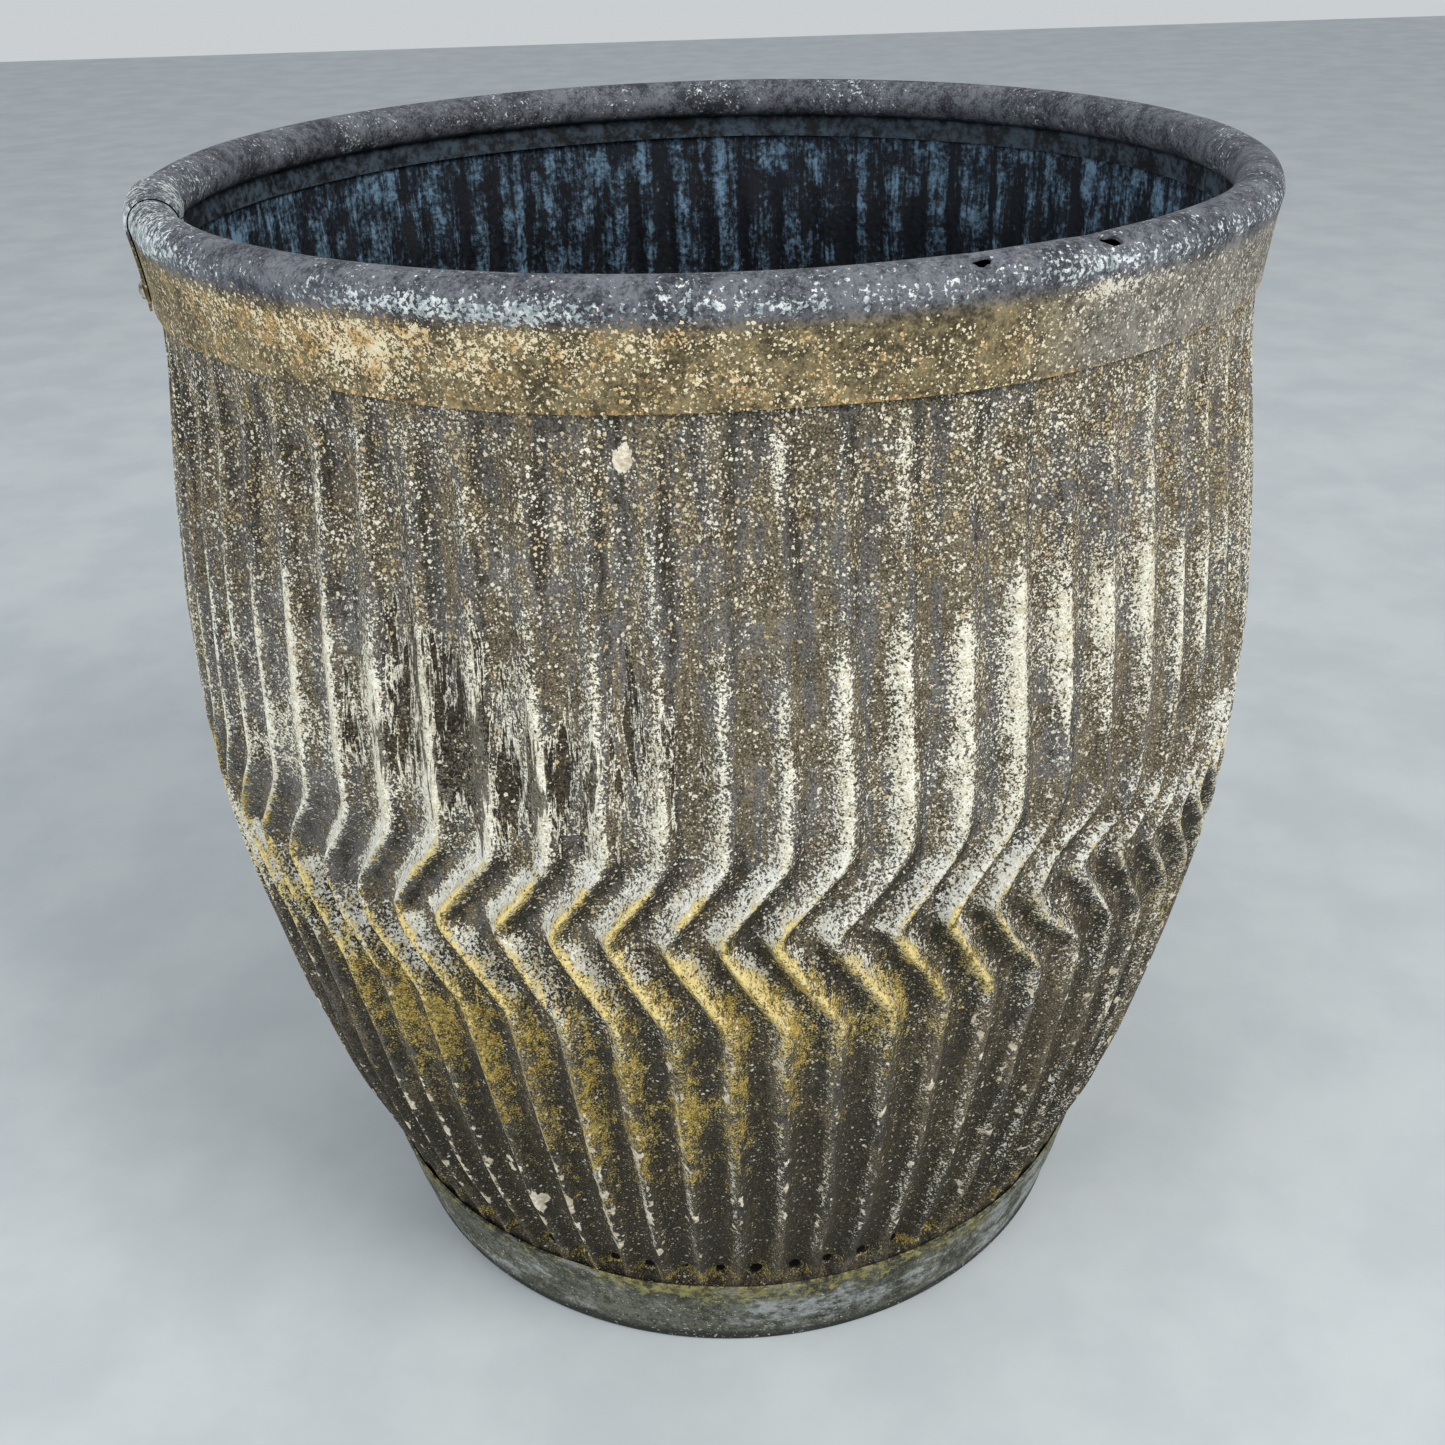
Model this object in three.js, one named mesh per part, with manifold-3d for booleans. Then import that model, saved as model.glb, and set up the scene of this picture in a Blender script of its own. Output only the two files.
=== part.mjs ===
// A zinc-coated steel dolly tub, the old barrel-shaped wash tub that is now used as a planter.
// Two fluted half panels are lapped and riveted down both sides. A rim band with a hollow rolled
// bead caps their top edge, a plain foot band wraps their bottom edge, and a dished base plate
// sits inside the foot. Units are millimetres, +Z is up, and the origin is the centre of the foot.
import * as THREE from "three";
import { mergeVertices } from "three/addons/utils/BufferGeometryUtils.js";
import Module from "manifold-3d";

// Driving dimensions
const TUB_HEIGHT = 530;
const RIM_RADIUS = 240; // outside of the rolled bead
const SHEET = 1.1; // thickness of every sheet
const GAP = 0.3; // clearance between pieces that touch
const LAP = SHEET + 2 * GAP; // how far an under-lap is set in, or an over-lap stands off
const FLUTES = 70;
const FLUTE_PITCH = (2 * Math.PI) / FLUTES;

// Rim band: a skirt outside the wall, a hollow roll on top, and a short leg inside the wall
const BEAD_RADIUS = 9.6; // outside of the roll
const SKIRT_BOTTOM = 488;
const SKIRT_RADIUS = 236.4; // outside of the skirt's lower edge
const LEG_BOTTOM = 500;
const BEAD_STEPS = 7;
const RIM_LAP_START = 37; // in flute pitches round from +X
const RIM_LAP_PITCHES = 2;
const RIM_RIVET_HEIGHT = 494;

// Foot band and base plate
const FOOT_TOP = 49;
const FOOT_TOP_RADIUS = 197;
const FOOT_BOTTOM_RADIUS = 186;
const FOOT_LIP_WIDTH = 10; // the flat ring that the tub stands on
const BASE_HEIGHT = 24; // top face of the base plate
const BASE_DISH_RADIUS = 120;
const BASE_DISH_RISE = 3;
const DRAIN_RADIUS = 6;
const DRAIN_CIRCLE = 75;
const DRAINS_ON_CIRCLE = 4;

// Fluted wall
const WALL_BOTTOM = 6;
const WALL_TOP = 508;
const WALL_TOP_RADIUS = 234; // the plain strip inside the rim band
const FLUTES_START = 480; // the flutes die out above this
const FLUTES_END = 30; // and below this, inside the foot band
const DEPTH_ABOVE = 4.5; // flute depth above the zigzag
const DEPTH_BELOW = 5.5; // flute depth below the zigzag
const ZIGZAG_TOP = 320;
const ZIGZAG_MIDDLE = 286;
const ZIGZAG_BOTTOM = 245;
const ZIGZAG_SHIFT = THREE.MathUtils.degToRad(-6); // sideways swing of the flutes at the middle
const VALLEY_FROM = 0.29; // share of a flute's pitch where its flat valley starts

// Side seams
const SEAM_AZIMUTHS = { left: Math.PI, right: 0 };
const SEAM_RIVET_HEIGHTS = [461, 411, 351, 222, 182, 112, 72];
const RIVET_SHANK = 2.2;
const RIVET_HEAD = 3.8;
const RIVET_HEAD_HEIGHT = 2;
const RIVET_TAIL = 3.2;
const RIVET_TAIL_HEIGHT = 1.5;
const RIVET_SIDES = 8;

// Two rust holes through the top of the bead
const RUST_HOLE_AZIMUTHS = [291.5, 304].map(THREE.MathUtils.degToRad);
const RUST_HOLE_RADIUS = 3;
const RUST_HOLE_OFFSET = 3.5; // outwards from the middle of the bead

// The barrel outline of the flutes' crests, from the foot band to the rim band
const CREST_OUTLINE = new THREE.SplineCurve(
  [
    [195, FOOT_TOP],
    [215, 106],
    [235, 186],
    [248, 265],
    [248.5, 345],
    [240.5, 425],
    [WALL_TOP_RADIUS, FLUTES_START],
  ].map(([radius, z]) => new THREE.Vector2(radius, z)),
);

const wasm = await Module();
wasm.setup();

// ---- helpers -------------------------------------------------------------------------------

function point(radius, azimuth, z) {
  return [radius * Math.cos(azimuth), radius * Math.sin(azimuth), z];
}

// A closed body from loops of points. Each loop is a sheet's section: its outer face from the
// first edge to the last, then its inner face back again. Both faces are split into triangles
// along the same diagonals, so that nested sheets keep an even gap.
function loft(loops, ring) {
  const size = loops[0].length;
  const triangles = [];
  const at = (loop, i) => (loop % loops.length) * size + (i % size);
  const spans = ring ? loops.length : loops.length - 1;
  for (let k = 0; k < spans; k++) {
    for (let i = 0; i < size; i++) {
      const [a, b, c, d] = [at(k, i), at(k + 1, i), at(k + 1, i + 1), at(k, i + 1)];
      if (i < size / 2) triangles.push(a, b, c, a, c, d);
      else triangles.push(a, b, d, b, c, d);
    }
  }
  if (!ring) {
    const last = loops.length - 1;
    for (let i = 0; i < size / 2 - 1; i++) {
      const back = size - 1 - i;
      triangles.push(at(0, i), at(0, i + 1), at(0, back - 1));
      triangles.push(at(0, i), at(0, back - 1), at(0, back));
      triangles.push(at(last, i), at(last, back - 1), at(last, i + 1));
      triangles.push(at(last, i), at(last, back), at(last, back - 1));
    }
  }
  const geometry = new THREE.BufferGeometry();
  geometry.setAttribute("position", new THREE.Float32BufferAttribute(loops.flat(2), 3));
  geometry.setIndex(triangles);
  return geometry;
}

// The loop of a sheet of even thickness whose outer face follows [radius, z] points. The points
// run so that the sheet's inside is on their left. A lapped end stands off by lift.
function sheetLoop(outline, azimuth, lift = 0) {
  const offset = (distance) =>
    outline.map(([radius, z], i) => {
      const before = outline[Math.max(i - 1, 0)];
      const after = outline[Math.min(i + 1, outline.length - 1)];
      const run = [after[0] - before[0], after[1] - before[1]];
      const length = Math.hypot(...run);
      const outward = [run[1] / length, -run[0] / length];
      return point(radius + outward[0] * distance, azimuth, z + outward[1] * distance);
    });
  return [...offset(lift), ...offset(lift - SHEET).reverse()];
}

function solidOf(geometry) {
  const bare = new THREE.BufferGeometry();
  bare.setAttribute("position", geometry.getAttribute("position"));
  bare.setIndex(geometry.index);
  const merged = mergeVertices(bare);
  return new wasm.Manifold(
    new wasm.Mesh({
      numProp: 3,
      vertProperties: merged.attributes.position.array,
      triVerts: new Uint32Array(merged.index.array),
    }),
  );
}

function geometryOf(solid) {
  const mesh = solid.getMesh();
  const geometry = new THREE.BufferGeometry();
  geometry.setAttribute("position", new THREE.BufferAttribute(mesh.vertProperties, 3));
  geometry.setIndex(new THREE.BufferAttribute(mesh.triVerts, 1));
  geometry.computeVertexNormals();
  return geometry;
}

function cut(geometry, tools) {
  const left = tools.reduce((solid, tool) => solid.subtract(solidOf(tool)), solidOf(geometry));
  return geometryOf(left);
}

// Turns a piece made along +Y so that +Y points out of the wall, and moves it there
function standOnWall(geometry, { azimuth, radius, z, tilt }) {
  const outward = new THREE.Vector3(
    Math.cos(azimuth) * Math.cos(tilt),
    Math.sin(azimuth) * Math.cos(tilt),
    Math.sin(tilt),
  );
  const turn = new THREE.Quaternion().setFromUnitVectors(new THREE.Vector3(0, 1, 0), outward);
  geometry.applyQuaternion(turn);
  return geometry.translate(...point(radius, azimuth, z));
}

// ---- the fluted wall -----------------------------------------------------------------------

const ramp = (value, from, to) => THREE.MathUtils.clamp((value - from) / (to - from), 0, 1);

function crestRadius(z) {
  if (z >= FLUTES_START) return WALL_TOP_RADIUS;
  if (z <= FOOT_TOP) return footRadius(z) - SHEET - 2 * GAP;
  let low = 0;
  let high = 1;
  for (let i = 0; i < 30; i++) {
    const middle = (low + high) / 2;
    if (CREST_OUTLINE.getPoint(middle).y < z) low = middle;
    else high = middle;
  }
  return CREST_OUTLINE.getPoint(low).x;
}

function footRadius(z) {
  return THREE.MathUtils.lerp(FOOT_BOTTOM_RADIUS, FOOT_TOP_RADIUS, ramp(z, 0, FOOT_TOP));
}

function fluteDepth(z) {
  const full = THREE.MathUtils.lerp(DEPTH_BELOW, DEPTH_ABOVE, ramp(z, ZIGZAG_BOTTOM, ZIGZAG_TOP));
  return full * ramp(z, FLUTES_END, FOOT_TOP) * ramp(z, FLUTES_START, FLUTES_START - 40);
}

function fluteShift(z) {
  const rise = ramp(z, ZIGZAG_BOTTOM, ZIGZAG_MIDDLE);
  const fall = ramp(z, ZIGZAG_TOP, ZIGZAG_MIDDLE);
  return ZIGZAG_SHIFT * Math.min(rise, fall);
}

const WALL_ROWS = [
  WALL_BOTTOM,
  FLUTES_END,
  FOOT_TOP,
  140,
  ZIGZAG_BOTTOM,
  ZIGZAG_MIDDLE,
  ZIGZAG_TOP,
  382,
  FLUTES_START - 40,
  FLUTES_START,
  WALL_TOP,
];

// One half of the wall: from the crest before one seam to the crest after the other. A panel
// that goes under its neighbour has both laps set in by one sheet.
function wallPanel(firstCrest, lapsUnder) {
  const pitches = FLUTES / 2 + 1;
  const corners = [0, VALLEY_FROM, 1 - VALLEY_FROM];
  const loops = [];
  for (let pitch = 0; pitch <= pitches; pitch++) {
    for (const corner of pitch < pitches ? corners : [0]) {
      const along = pitch + corner;
      const inLap = along <= 1 || along >= pitches - 1;
      const setIn = lapsUnder && inLap ? LAP : 0;
      const outer = WALL_ROWS.map((z) => ({
        radius: crestRadius(z) - setIn - (corner ? fluteDepth(z) : 0),
        azimuth: firstCrest + along * FLUTE_PITCH + fluteShift(z),
        z,
      }));
      loops.push([
        ...outer.map((p) => point(p.radius, p.azimuth, p.z)),
        ...outer.map((p) => point(p.radius - SHEET, p.azimuth, p.z)).reverse(),
      ]);
    }
  }
  return loft(loops, false);
}

// Where a rivet stands on a face that runs straight between two [radius, z] points
function rivetSpot(azimuth, low, high, z) {
  const radius = THREE.MathUtils.mapLinear(z, low[1], high[1], low[0], high[0]);
  return { azimuth, radius, z, tilt: -Math.atan2(high[0] - low[0], high[1] - low[1]) };
}

// A rivet in the flat bottom of a seam's valley. Its grip is the thickness that it holds together.
function seamSpot(azimuth, z) {
  const above = WALL_ROWS.findIndex((row) => row > z);
  const halfWidth = (0.5 - VALLEY_FROM) * FLUTE_PITCH;
  const valley = (row) => [(crestRadius(row) - fluteDepth(row)) * Math.cos(halfWidth), row];
  const spot = rivetSpot(azimuth, valley(WALL_ROWS[above - 1]), valley(WALL_ROWS[above]), z);
  return { ...spot, grip: 2 * SHEET + 2 * GAP };
}

// A rivet in the middle of one of the flat pitches of the rim band's lap
function rimLapSpot(pitch) {
  const flat = (radius) => (radius + LAP) * Math.cos(FLUTE_PITCH / 2);
  const low = [flat(SKIRT_RADIUS), SKIRT_BOTTOM];
  const high = [flat(RIM_RADIUS), TUB_HEIGHT - BEAD_RADIUS];
  const azimuth = (RIM_LAP_START + pitch + 0.5) * FLUTE_PITCH;
  const spot = rivetSpot(azimuth, low, high, RIM_RIVET_HEIGHT);
  return { ...spot, grip: spot.radius - (WALL_TOP_RADIUS - SHEET) + 2 * GAP };
}

function rivet(spot) {
  const tail = -spot.grip - GAP;
  const profile = [
    [0, tail - RIVET_TAIL_HEIGHT],
    [RIVET_TAIL * 0.7, tail - RIVET_TAIL_HEIGHT],
    [RIVET_TAIL, tail],
    [RIVET_SHANK, tail],
    [RIVET_SHANK, GAP],
    [RIVET_HEAD, GAP],
    [RIVET_HEAD * 0.75, GAP + RIVET_HEAD_HEIGHT * 0.7],
    [0, GAP + RIVET_HEAD_HEIGHT],
  ].map(([x, y]) => new THREE.Vector2(x, y));
  return standOnWall(new THREE.LatheGeometry(profile, RIVET_SIDES), spot);
}

function rivetHole(spot) {
  const radius = RIVET_SHANK + GAP;
  const length = 2 * spot.grip + 6;
  return standOnWall(new THREE.CylinderGeometry(radius, radius, length, RIVET_SIDES), spot);
}

// ---- rim band, foot band and base plate ----------------------------------------------------

// The band's outer face: up the skirt, over the roll, and down the leg inside the wall
function rimOutline() {
  const centre = [RIM_RADIUS - BEAD_RADIUS, TUB_HEIGHT - BEAD_RADIUS];
  const legRadius = WALL_TOP_RADIUS - 2 * SHEET - LAP - GAP;
  const end = (3 / 2) * Math.PI + Math.asin((legRadius - centre[0]) / BEAD_RADIUS);
  const roll = [];
  for (let i = 0; i <= BEAD_STEPS; i++) {
    const angle = THREE.MathUtils.lerp(0, end, i / BEAD_STEPS);
    roll.push([
      centre[0] + BEAD_RADIUS * Math.cos(angle),
      centre[1] + BEAD_RADIUS * Math.sin(angle),
    ]);
  }
  return [[SKIRT_RADIUS, SKIRT_BOTTOM], ...roll, [legRadius, LEG_BOTTOM]];
}

// A strip bent round the tub, whose end laps over its start and stands off by LAP there
function rimBand() {
  const outline = rimOutline();
  const loops = [];
  for (let k = 0; k <= FLUTES + RIM_LAP_PITCHES; k++) {
    loops.push(sheetLoop(outline, (RIM_LAP_START + k) * FLUTE_PITCH, k >= FLUTES ? LAP : 0));
  }
  const rustHoles = RUST_HOLE_AZIMUTHS.map((azimuth) => {
    const hole = new THREE.SphereGeometry(RUST_HOLE_RADIUS, 8, 6);
    const radius = RIM_RADIUS - BEAD_RADIUS + RUST_HOLE_OFFSET;
    return hole.translate(...point(radius, azimuth, TUB_HEIGHT - 1));
  });
  return cut(loft(loops, false), [...rustHoles, ...rimLapSpots.map(rivetHole)]);
}

// A seamless hoop with a flat lip turned in at the bottom
function footBand() {
  const lip = FOOT_BOTTOM_RADIUS - FOOT_LIP_WIDTH;
  const loops = [];
  for (let k = 0; k < FLUTES; k++) {
    const azimuth = (k + 0.5) * FLUTE_PITCH;
    loops.push([
      point(lip, azimuth, 0),
      point(FOOT_BOTTOM_RADIUS, azimuth, 0),
      point(FOOT_TOP_RADIUS, azimuth, FOOT_TOP),
      point(FOOT_TOP_RADIUS - SHEET, azimuth, FOOT_TOP),
      point(FOOT_BOTTOM_RADIUS - SHEET, azimuth, SHEET),
      point(lip, azimuth, SHEET),
    ]);
  }
  return loft(loops, true);
}

function basePlate() {
  const clear = SHEET + LAP + GAP; // inside the wall's under-laps
  const plateRadius = crestRadius(BASE_HEIGHT) - clear;
  const flangeBottom = WALL_BOTTOM;
  const flangeRadius = crestRadius(flangeBottom) - clear;
  const top = BASE_HEIGHT;
  const dish = top + BASE_DISH_RISE;
  const outline = [
    [0, dish - SHEET],
    [BASE_DISH_RADIUS - 4, dish - SHEET],
    [BASE_DISH_RADIUS, top - SHEET],
    [plateRadius - SHEET, top - SHEET],
    [flangeRadius - SHEET, flangeBottom],
    [flangeRadius, flangeBottom],
    [plateRadius, top],
    [BASE_DISH_RADIUS, top],
    [BASE_DISH_RADIUS - 4, dish],
    [0, dish],
  ].map(([radius, z]) => new THREE.Vector2(radius, z));
  const plate = new THREE.LatheGeometry(outline, FLUTES).rotateX(Math.PI / 2);
  const drains = [[0, 0]];
  for (let k = 0; k < DRAINS_ON_CIRCLE; k++) {
    const azimuth = ((k + 0.5) * 2 * Math.PI) / DRAINS_ON_CIRCLE;
    drains.push([DRAIN_CIRCLE * Math.cos(azimuth), DRAIN_CIRCLE * Math.sin(azimuth)]);
  }
  return cut(
    plate,
    drains.map(([x, y]) => {
      const drill = new THREE.CylinderGeometry(DRAIN_RADIUS, DRAIN_RADIUS, 12, 16);
      return drill.rotateX(Math.PI / 2).translate(x, y, top + 1);
    }),
  );
}

// ---- the assembly --------------------------------------------------------------------------

const wallMetal = { color: 0x6f6656, roughness: 0.85, metalness: 0.25 };
const rimMetal = { color: 0x66615b, roughness: 0.7, metalness: 0.35 };
const footMetal = { color: 0x6b6453, roughness: 0.85, metalness: 0.25 };
const baseMetal = { color: 0x3b4148, roughness: 0.8, metalness: 0.3 };
const rivetMetal = { color: 0x5f5a50, roughness: 0.75, metalness: 0.4 };

const tub = new THREE.Group();

function add(name, geometry, metal) {
  const mesh = new THREE.Mesh(geometry, new THREE.MeshStandardMaterial(metal));
  mesh.name = name;
  tub.add(mesh);
}

const seamSpots = Object.entries(SEAM_AZIMUTHS).flatMap(([side, azimuth]) =>
  SEAM_RIVET_HEIGHTS.map((z, i) => ({ side, number: i + 1, ...seamSpot(azimuth, z) })),
);
const seamHoles = seamSpots.map(rivetHole);
const rimLapSpots = Array.from({ length: RIM_LAP_PITCHES }, (_, pitch) => rimLapSpot(pitch));
const frontPanel = wallPanel(SEAM_AZIMUTHS.left - FLUTE_PITCH / 2, false);
const backPanel = wallPanel(SEAM_AZIMUTHS.right - FLUTE_PITCH / 2, true);

add("wall_panel_front", cut(frontPanel, [...seamHoles, ...rimLapSpots.map(rivetHole)]), wallMetal);
add("wall_panel_back", cut(backPanel, seamHoles), wallMetal);
add("rim_band", rimBand(), rimMetal);
rimLapSpots.forEach((spot, i) => add(`rim_lap_rivet_${i + 1}`, rivet(spot), rivetMetal));
add("foot_band", footBand(), footMetal);
add("base_plate", basePlate(), baseMetal);
for (const spot of seamSpots) {
  add(`seam_rivet_${spot.side}_${spot.number}`, rivet(spot), rivetMetal);
}

export default tub;
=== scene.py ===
"""Looks for a weathered, zinc-coated dolly tub: a barrel of fluted sheet with a zigzag crease, a rolled
rim band, a foot band and a base plate. The wall, rim band and foot band are rebuilt finely over their CAD
solids, with the dents and the wander of a hand-worked tub, and every sheet is painted with layered
procedural patina, which also holds painted light and shade."""

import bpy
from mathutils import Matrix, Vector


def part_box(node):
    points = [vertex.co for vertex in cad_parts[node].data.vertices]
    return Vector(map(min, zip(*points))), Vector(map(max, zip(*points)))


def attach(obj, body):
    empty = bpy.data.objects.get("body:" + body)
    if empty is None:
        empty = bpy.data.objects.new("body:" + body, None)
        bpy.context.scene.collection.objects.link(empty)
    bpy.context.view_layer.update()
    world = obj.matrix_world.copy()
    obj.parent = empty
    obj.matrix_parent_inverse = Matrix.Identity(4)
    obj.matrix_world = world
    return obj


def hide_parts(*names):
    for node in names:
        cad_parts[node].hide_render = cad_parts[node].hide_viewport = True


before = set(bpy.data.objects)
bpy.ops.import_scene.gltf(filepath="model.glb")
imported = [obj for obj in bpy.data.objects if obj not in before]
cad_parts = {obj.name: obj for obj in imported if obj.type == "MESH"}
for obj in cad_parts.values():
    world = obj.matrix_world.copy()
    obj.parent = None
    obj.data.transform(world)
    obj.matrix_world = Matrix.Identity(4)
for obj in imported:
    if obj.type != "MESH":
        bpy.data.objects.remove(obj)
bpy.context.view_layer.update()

import math

import bpy
import numpy as np
from mathutils import Matrix, Vector

# ---- sizes, in metres, as in the CAD ---------------------------------------------------------

FOOT_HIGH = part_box("foot_band")[1]
WALL_LOW, WALL_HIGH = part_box("wall_panel_front")

TURN = 2 * math.pi
FLUTES = 70
PITCH = TURN / FLUTES
SHEET = 0.0011
GAP = 0.0003
LAP = SHEET + 2 * GAP
TOP = 0.530  # of the bead
WALL_TOP_RADIUS = 0.2340  # of the crests, behind the rim band
RIM_RADIUS = 0.240
BEAD_RADIUS = 0.0096
SKIRT_BOTTOM = 0.488
SKIRT_RADIUS = 0.2364
LEG_BOTTOM = 0.500
FOOT_TOP = FOOT_HIGH[2]
FOOT_TOP_RADIUS = FOOT_HIGH[1]
FOOT_BOTTOM_RADIUS = 0.186
FOOT_LIP = 0.010
WALL_BOTTOM, WALL_TOP = WALL_LOW[2], WALL_HIGH[2]
ARC_RADIUS = 0.235  # turns azimuth into a distance round the tub
FRONT = 270  # azimuth of the side towards the camera, in degrees
WEEP_HEIGHT = 0.055  # of the small pits above the foot band

# The crests' outline, as (height, radius)
CREST = [
    (0.006, 0.18565), (0.030, 0.1910), (0.049, 0.1953), (0.106, 0.2150), (0.186, 0.2350), (0.265, 0.2478),
    (0.345, 0.2484), (0.425, 0.2408), (0.470, 0.2351), (0.488, WALL_TOP_RADIUS), (0.508, WALL_TOP_RADIUS),
]
ZIGZAG_TOP, ZIGZAG_MIDDLE, ZIGZAG_BOTTOM = 0.322, 0.286, 0.243
ZIGZAG_SWING = math.radians(6.3)

# ---- smooth fields over the tub's surface ----------------------------------------------------


def through(points):
    """A smooth curve y(x) through the points."""
    xs, ys = np.array(points).T
    slopes = np.gradient(ys, xs)

    def at(x):
        i = np.clip(np.searchsorted(xs, x) - 1, 0, len(xs) - 2)
        width = xs[i + 1] - xs[i]
        t = np.clip((x - xs[i]) / width, 0, 1)
        rise = (2 * t**3 - 3 * t**2 + 1) * ys[i] + (3 * t**2 - 2 * t**3) * ys[i + 1]
        return rise + width * ((t**3 - 2 * t**2 + t) * slopes[i] + (t**3 - t**2) * slopes[i + 1])

    return at


def ease(x, low, high):
    """0 below low, 1 above high, and smooth between. low may be above high."""
    t = np.clip((x - low) / (high - low), 0, 1)
    return t * t * (3 - 2 * t)


def drift(azimuth, z, cells, rise, seed):
    """A smooth random field from -1 to 1. Its cells go `cells` times round and are `rise` tall."""
    tall = 96
    lattice = np.random.default_rng(seed).uniform(-1, 1, (cells, tall))
    u, v = (azimuth / TURN % 1) * cells, z / rise + 20
    i, j = np.floor(u).astype(int), np.floor(v).astype(int)
    s, t = ease(u - i, 0, 1), ease(v - j, 0, 1)
    a, b = lattice[i % cells, j % tall], lattice[(i + 1) % cells, j % tall]
    c, d = lattice[i % cells, (j + 1) % tall], lattice[(i + 1) % cells, (j + 1) % tall]
    return (a * (1 - s) + b * s) * (1 - t) + (c * (1 - s) + d * s) * t


def around(azimuth, centre):
    """Signed angle from centre, in degrees."""
    return (np.degrees(azimuth) - centre + 180) % 360 - 180


def blots(azimuth, z, places):
    """The sum of soft blots, each (azimuth, height, half width, half height, amount). Azimuth and half
    width are in degrees."""
    total = np.zeros_like(z)
    for centre, height, wide, tall, amount in places:
        total += amount * np.exp(-((around(azimuth, centre) / wide) ** 2) - ((z - height) / tall) ** 2)
    return total


def peak(x, centre, width):
    """1 at centre, falling smoothly to 0 over a few widths."""
    return np.exp(-(((x - centre) / width) ** 2))


# ---- the fluted wall -------------------------------------------------------------------------

crest_radius = through(CREST)
DENTS = [  # the last number is the depth
    (306, 0.292, 5.0, 0.022, 0.0045), (314, 0.262, 4.0, 0.020, 0.0014), (232, 0.300, 5.0, 0.020, 0.0030),
    (249, 0.372, 6.0, 0.035, 0.0014), (286, 0.215, 7.0, 0.040, 0.0020), (70, 0.300, 8.0, 0.030, 0.0040),
    (130, 0.410, 9.0, 0.040, 0.0020), (20, 0.190, 7.0, 0.035, 0.0030),
]
FLATTENED = [(311, 0.285, 12, 0.040, 1.0)]
CRUMPLED = [(305, 0.287, 12, 0.040, 1.0), (232, 0.285, 9, 0.030, 0.5), (95, 0.285, 14, 0.03, 0.8)]


def zigzag(azimuth, z):
    """The flutes' sideways swing, with rounded bends."""
    level = z * 0
    middle = ZIGZAG_MIDDLE + 0.003 * drift(azimuth, level, 24, 1, 11) + 0.004 * drift(azimuth, level, 9, 1, 12)
    swing = ZIGZAG_SWING * (1 + 0.16 * drift(azimuth, level, 30, 1, 13))

    def bent(height):
        up = np.clip((height - ZIGZAG_BOTTOM) / (middle - ZIGZAG_BOTTOM), 0, 1)
        down = np.clip((ZIGZAG_TOP - height) / (ZIGZAG_TOP - middle), 0, 1)
        return np.minimum(up, down)

    rounding = 0.0065
    spread = np.linspace(-rounding, rounding, 9)
    weights = 1 - (spread / 0.009) ** 2
    return -swing * sum(w * bent(z + d) for w, d in zip(weights, spread)) / weights.sum()


def weep_pits(offset, z):
    """1 in the middle of the small pit at the foot of each valley, above the foot band."""
    across = (0.5 - np.abs(offset)) * PITCH * FOOT_TOP_RADIUS
    return np.exp(-((across / 0.0034) ** 2) - ((z - WEEP_HEIGHT) / 0.0036) ** 2)


def flutes(azimuth, z):
    """The radius of the wall's outside, how near a rib's crest it is, from 0 to 1, and how many pitches it
    is from that crest, from -0.5 to 0.5."""
    crumpled = blots(azimuth, z, CRUMPLED)
    wander = math.radians(0.26) * drift(azimuth, z, 70, 0.05, 3)
    wander = wander + math.radians(0.3) * drift(azimuth, z, 23, 0.11, 4)
    wander = wander + math.radians(1.5) * drift(azimuth, z, 48, 0.018, 14) * crumpled
    phase = (azimuth - zigzag(azimuth, z) + wander) / PITCH - 0.5
    offset = phase - np.round(phase)
    wave = 0.5 + 0.5 * np.cos(TURN * offset)
    rib = wave ** (1.4 + 0.9 * ease(z, ZIGZAG_TOP + 0.03, ZIGZAG_TOP - 0.02))
    height = 0.0048 + 0.0012 * ease(z, ZIGZAG_TOP + 0.02, ZIGZAG_BOTTOM)
    height = height + 0.0024 * peak(z, ZIGZAG_MIDDLE, 0.032)
    height = height * (1 + 0.14 * drift(azimuth, z, 70, 0.09, 5))
    height = height * ease(z, 0.487, 0.450) * ease(z, 0.034, 0.058)
    height = height * (1 - 0.38 * blots(azimuth, z, FLATTENED))
    loose = ease(z, 0.05, 0.10) * ease(z, 0.487, 0.45)
    bulge = 0.0007 * drift(azimuth, z, 16, 0.07, 6) + 0.0005 * drift(azimuth, z, 52, 0.024, 7)
    folds = np.abs(drift(azimuth, z, 90, 0.020, 8) + 0.5 * drift(azimuth, z, 150, 0.012, 9))
    crease = 0.0034 * folds * crumpled
    weep = 0.0030 * weep_pits(offset, z)
    radius = crest_radius(z) - height * (1 - rib) - weep
    radius = radius + loose * (bulge - crease - blots(azimuth, z, DENTS))
    return radius, rib, offset


# ---- meshes ----------------------------------------------------------------------------------

ATTRIBUTE_KINDS = {1: ("FLOAT", "value"), 3: ("FLOAT_VECTOR", "vector"), 4: ("FLOAT_COLOR", "color")}
SHARP_ANGLE = math.radians(55)


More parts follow.
